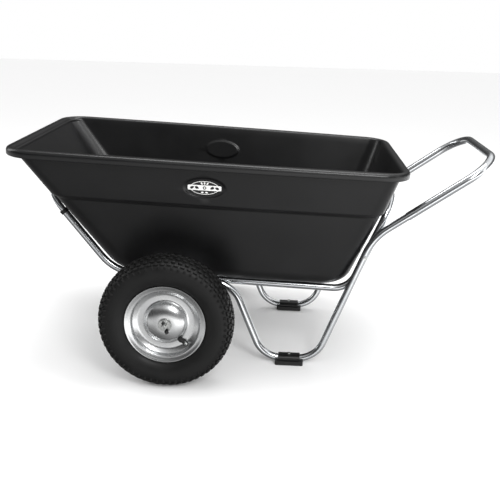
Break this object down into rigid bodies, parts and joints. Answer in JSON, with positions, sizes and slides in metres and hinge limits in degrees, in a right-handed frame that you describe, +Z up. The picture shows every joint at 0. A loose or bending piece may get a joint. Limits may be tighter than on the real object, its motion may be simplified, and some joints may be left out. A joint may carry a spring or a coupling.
{
  "type": "garden cart",
  "caption": "Garden cart with a moulded plastic tub that lifts out of a bent-tube frame, pneumatic wheels on an axle, padded feet and a push handle loop.",
  "frame": {"origin": "middle of the bounding box on the ground", "axes": "+X towards the push handle, +Y to the cart's right wheel, +Z up"},
  "size_m": [1.4457, 0.9062, 0.683],
  "materials": {
    "tub_plastic": "satin black moulded polyethylene",
    "badge_face": "printed plate",
    "frame_aluminium": "bright drawn tube",
    "black_plastic": "satin",
    "foot_rubber": "matte",
    "zinc_steel": "zinc plated",
    "rim_steel": "satin silver",
    "tyre_rubber": "matte",
    "tube_rubber": "matte",
    "cap_metal": "bright"
  },
  "bodies": {
    "frame": {"cradle_tube": "frame_aluminium", "front_loop": "frame_aluminium", "handle_loop": "frame_aluminium", "axle": "zinc_steel", "side_bolts": "zinc_steel", "side_nuts": "zinc_steel", "rail_rivets": "zinc_steel", "leg_tube_left": "frame_aluminium", "rail_collar_left": "black_plastic", "foot_pad_left": "foot_rubber", "foot_saddle_left": "black_plastic", "foot_bolt_left": "zinc_steel", "axle_hanger_left": "frame_aluminium", "axle_spacer_left": "zinc_steel", "axle_washer_left": "zinc_steel", "axle_pin_left": "black_plastic", "leg_tube_right": "frame_aluminium", "rail_collar_right": "black_plastic", "foot_pad_right": "foot_rubber", "foot_saddle_right": "black_plastic", "foot_bolt_right": "zinc_steel", "axle_hanger_right": "frame_aluminium", "axle_spacer_right": "zinc_steel", "axle_washer_right": "zinc_steel", "axle_pin_right": "black_plastic"},
    "tub": {"tub": "tub_plastic", "badge_left": "badge_face", "badge_right": "badge_face"},
    "wheel_left": {"tyre_left": "tyre_rubber", "inner_tube_left": "tube_rubber", "rim_outer_left": "rim_steel", "rim_inner_left": "rim_steel", "hub_tube_left": "zinc_steel", "bearing_outer_left": "zinc_steel", "bearing_inner_left": "zinc_steel", "valve_stem_left": "tube_rubber", "valve_cap_left": "cap_metal"},
    "front_button_left": {"front_button_left": "zinc_steel"},
    "handle_button_left": {"handle_button_left": "zinc_steel"},
    "wheel_right": {"tyre_right": "tyre_rubber", "inner_tube_right": "tube_rubber", "rim_outer_right": "rim_steel", "rim_inner_right": "rim_steel", "hub_tube_right": "zinc_steel", "bearing_outer_right": "zinc_steel", "bearing_inner_right": "zinc_steel", "valve_stem_right": "tube_rubber", "valve_cap_right": "cap_metal"},
    "front_button_right": {"front_button_right": "zinc_steel"},
    "handle_button_right": {"handle_button_right": "zinc_steel"}
  },
  "joints": [
    {"name": "tub_lift", "type": "slide", "parent": "frame", "child": "tub", "axis": [0, 0, 1], "range_m": [0, 0.35]},
    {"name": "wheel_left_spin", "type": "hinge", "parent": "frame", "child": "wheel_left", "pos_m": [-0.23756, -0.39401, 0.2], "axis": [0, 1, 0], "continuous": true},
    {"name": "front_button_left_press", "type": "slide", "parent": "frame", "child": "front_button_left", "axis": [0, 1, 0], "range_m": [0, 0.0035], "stiffness_N_per_m": 1500},
    {"name": "handle_button_left_press", "type": "slide", "parent": "frame", "child": "handle_button_left", "axis": [0, 1, 0], "range_m": [0, 0.0035], "stiffness_N_per_m": 1500},
    {"name": "wheel_right_spin", "type": "hinge", "parent": "frame", "child": "wheel_right", "pos_m": [-0.23756, 0.39401, 0.2], "axis": [0, 1, 0], "continuous": true},
    {"name": "front_button_right_press", "type": "slide", "parent": "frame", "child": "front_button_right", "axis": [0, -1, 0], "range_m": [0, 0.0035], "stiffness_N_per_m": 1500},
    {"name": "handle_button_right_press", "type": "slide", "parent": "frame", "child": "handle_button_right", "axis": [0, -1, 0], "range_m": [0, 0.0035], "stiffness_N_per_m": 1500}
  ]
}
